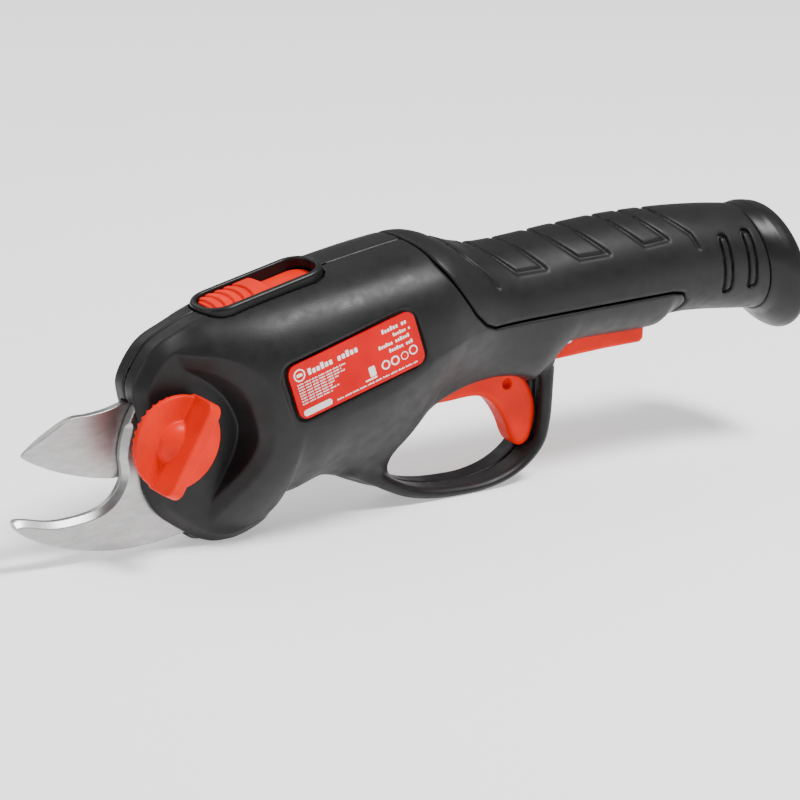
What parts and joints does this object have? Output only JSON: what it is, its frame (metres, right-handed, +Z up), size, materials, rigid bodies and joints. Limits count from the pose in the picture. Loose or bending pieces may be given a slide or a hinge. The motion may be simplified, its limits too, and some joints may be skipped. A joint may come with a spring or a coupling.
{
  "type": "battery electric pruner",
  "caption": "Battery electric pruner with a hooked counter blade, a power-driven cutting blade, a blade knob, a thumb lock slider and a trigger inside a finger loop.",
  "frame": {"origin": "middle of the bounding box, on the plane that the nose nub and the finger loop stand on", "axes": "+X from the blades to the handle end, +Y to the side away from the blade knob, +Z up"},
  "size_m": [0.2882, 0.055, 0.0863],
  "materials": {
    "housing": "matte, fine moulded texture",
    "sleeve": "matte soft grip",
    "trim": "satin",
    "red": "glossy moulded",
    "label": "smooth printed film, no lettering",
    "blade": "satin ground",
    "steel": "machined",
    "brass": "machined",
    "nylon": "natural moulded",
    "cell": "shrink film",
    "board": "lacquered",
    "lamp": "clear"
  },
  "bodies": {
    "handle": {"left_housing": "housing", "right_housing": "housing", "grip_sleeve": "sleeve", "rating_label": "label", "captive_nut": "steel", "housing_screw_1": "steel", "housing_screw_2": "steel", "housing_screw_3": "steel", "housing_screw_4": "steel", "housing_screw_5": "steel", "housing_screw_6": "steel", "housing_screw_7": "steel", "rear_cap": "trim", "charge_socket": "trim", "charge_led": "lamp", "lock_bezel": "trim", "counter_blade": "blade", "knob_washer": "steel", "ring_gear": "nylon", "gearbox_front_plate": "steel", "thrust_bearing": "steel", "motor_can": "steel", "motor_end_bell": "trim", "battery_cell": "cell", "circuit_board": "board", "trigger_switch": "trim", "safety_switch": "trim", "trigger_pin": "steel", "bar_pin": "steel", "trigger_spring": "steel", "bar_spring": "steel"},
    "cutting_blade": {"cutting_blade": "blade"},
    "nut": {"drive_nut": "brass"},
    "screw": {"drive_screw": "steel"},
    "first_carrier": {"first_carrier": "steel"},
    "rotor": {"motor_shaft": "steel"},
    "knob": {"blade_knob": "red", "pivot_bolt": "steel"},
    "trigger": {"trigger": "red"},
    "safety_bar": {"safety_bar": "red"},
    "lock_slider": {"lock_slider": "red"},
    "planet_1": {"planet_1": "nylon"},
    "planet_2": {"planet_2": "nylon"},
    "planet_3": {"planet_3": "nylon"},
    "planet_4": {"planet_4": "nylon"},
    "planet_5": {"planet_5": "nylon"},
    "planet_6": {"planet_6": "nylon"}
  },
  "joints": [
    {"name": "motor_spin", "type": "hinge", "parent": "handle", "child": "rotor", "pos_m": [-0.03722, 0, 0.0527], "axis": [1, 0, 0], "range_deg": [0, 11609.3]},
    {"name": "first_carrier_spin", "type": "hinge", "parent": "handle", "child": "first_carrier", "pos_m": [-0.03722, 0, 0.0527], "axis": [1, 0, 0], "range_deg": [0, 2903]},
    {"name": "screw_spin", "type": "hinge", "parent": "handle", "child": "screw", "pos_m": [-0.03722, 0, 0.0527], "axis": [1, 0, 0], "range_deg": [0, 727]},
    {"name": "planet_1_spin", "type": "hinge", "parent": "first_carrier", "child": "planet_1", "pos_m": [-0.03872, 0, 0.0623], "axis": [1, 0, 0], "range_deg": [-8708, 0]},
    {"name": "planet_2_spin", "type": "hinge", "parent": "first_carrier", "child": "planet_2", "pos_m": [-0.03872, -0.00831, 0.0479], "axis": [1, 0, 0], "range_deg": [-8708, 0]},
    {"name": "planet_3_spin", "type": "hinge", "parent": "first_carrier", "child": "planet_3", "pos_m": [-0.03872, 0.00831, 0.0479], "axis": [1, 0, 0], "range_deg": [-8708, 0]},
    {"name": "planet_4_spin", "type": "hinge", "parent": "screw", "child": "planet_4", "pos_m": [-0.04712, 0, 0.0623], "axis": [1, 0, 0], "range_deg": [-2178, 0]},
    {"name": "planet_5_spin", "type": "hinge", "parent": "screw", "child": "planet_5", "pos_m": [-0.04712, -0.00831, 0.0479], "axis": [1, 0, 0], "range_deg": [-2178, 0]},
    {"name": "planet_6_spin", "type": "hinge", "parent": "screw", "child": "planet_6", "pos_m": [-0.04712, 0.00831, 0.0479], "axis": [1, 0, 0], "range_deg": [-2178, 0]},
    {"name": "nut_slide", "type": "slide", "parent": "handle", "child": "nut", "axis": [-1, 0, 0], "range_m": [0, 0.00808]},
    {"name": "blade_swing", "type": "hinge", "parent": "handle", "child": "cutting_blade", "pos_m": [-0.09492, 0, 0.0377], "axis": [0, -1, 0], "range_deg": [0, 30.05]},
    {"name": "knob_turn", "type": "hinge", "parent": "handle", "child": "knob", "pos_m": [-0.09492, 0, 0.0377], "axis": [0, -1, 0], "range_deg": [0, 90]},
    {"name": "trigger_pull", "type": "hinge", "parent": "handle", "child": "trigger", "pos_m": [0.00128, 0, 0.0365], "axis": [0, -1, 0], "range_deg": [0, 6], "stiffness_Nm_per_rad": 0.8, "springref_deg": -2.29, "deforming": ["trigger_spring"]},
    {"name": "safety_bar_squeeze", "type": "hinge", "parent": "handle", "child": "safety_bar", "pos_m": [0.05178, 0, 0.0475], "axis": [0, -1, 0], "range_deg": [0, 3.4], "stiffness_Nm_per_rad": 0.6, "springref_deg": -2.29, "deforming": ["bar_spring"]},
    {"name": "lock_slide", "type": "slide", "parent": "handle", "child": "lock_slider", "axis": [0.9767, 0, 0.2147], "range_m": [0, 0.005]}
  ],
  "couplings": [
    {"joint": "first_carrier_spin", "follows": "motor_spin", "ratio": 0.25},
    {"joint": "screw_spin", "follows": "motor_spin", "ratio": 0.0625},
    {"joint": "planet_1_spin", "follows": "motor_spin", "ratio": -0.75},
    {"joint": "planet_2_spin", "follows": "motor_spin", "ratio": -0.75},
    {"joint": "planet_3_spin", "follows": "motor_spin", "ratio": -0.75},
    {"joint": "planet_4_spin", "follows": "motor_spin", "ratio": -0.1875},
    {"joint": "planet_5_spin", "follows": "motor_spin", "ratio": -0.1875},
    {"joint": "planet_6_spin", "follows": "motor_spin", "ratio": -0.1875},
    {"joint": "nut_slide", "follows": "motor_spin", "m_per_rad": 0.000039789},
    {"joint": "blade_swing", "follows": "motor_spin", "ratio": 0.0025841}
  ]
}
